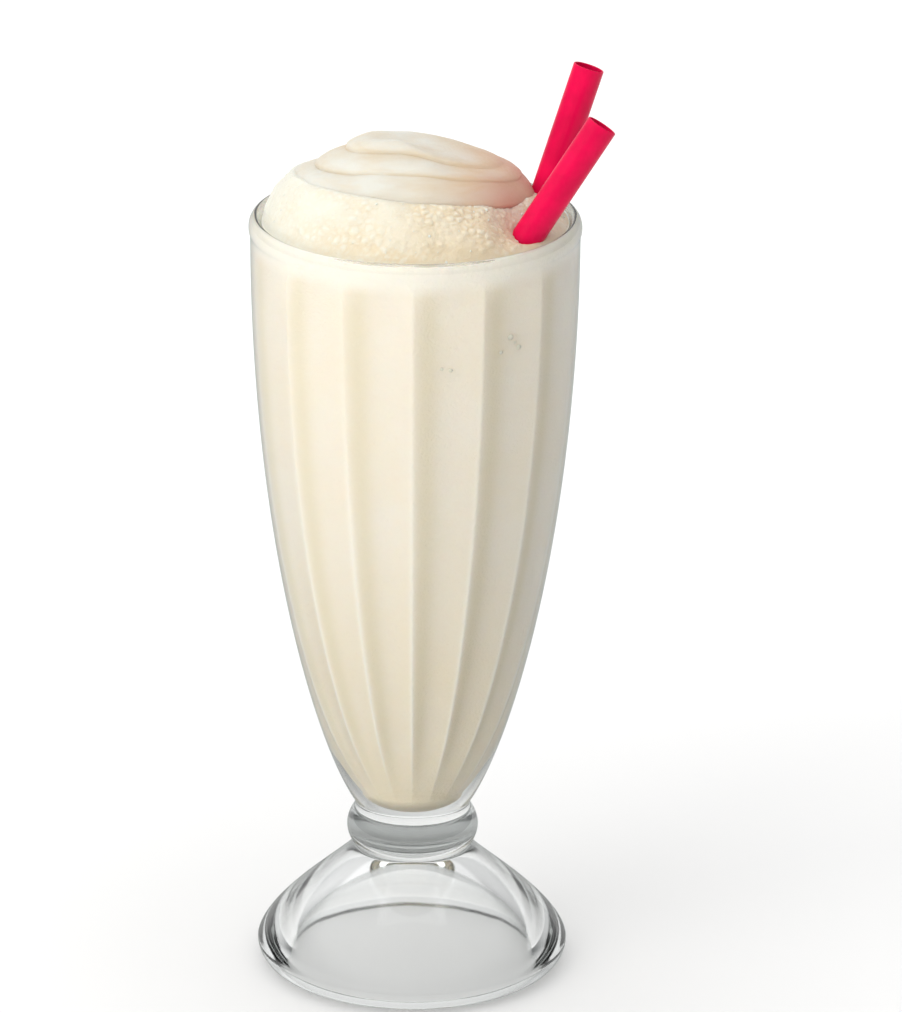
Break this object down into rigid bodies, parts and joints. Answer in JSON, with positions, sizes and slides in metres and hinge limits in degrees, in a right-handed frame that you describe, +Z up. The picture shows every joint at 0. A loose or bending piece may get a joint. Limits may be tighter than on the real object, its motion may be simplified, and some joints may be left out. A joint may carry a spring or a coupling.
{
  "type": "vanilla milkshake",
  "caption": "Vanilla milkshake in a tall footed soda fountain glass with fluted inside walls, froth and a smooth swirl heaped above the rolled lip, and drinking straws leaning out to one side.",
  "frame": {"origin": "centre of the flat ring that the foot of the glass rests on", "axes": "+Z up along the axis of the glass, -Y to the front, the straws lean to +X"},
  "size_m": [0.0873, 0.0802, 0.2291],
  "materials": {
    "glass": "clear, slightly grey-green pressed glass, glossy",
    "shake": "thick cream-coloured drink with fine froth, moist",
    "swirl": "smooth soft cream, moist sheen",
    "straw": "crimson pink plastic, glossy"
  },
  "bodies": {
    "root": {"glass": "glass", "shake": "shake", "swirl": "swirl", "straw_back": "straw", "straw_front": "straw"}
  },
  "joints": []
}
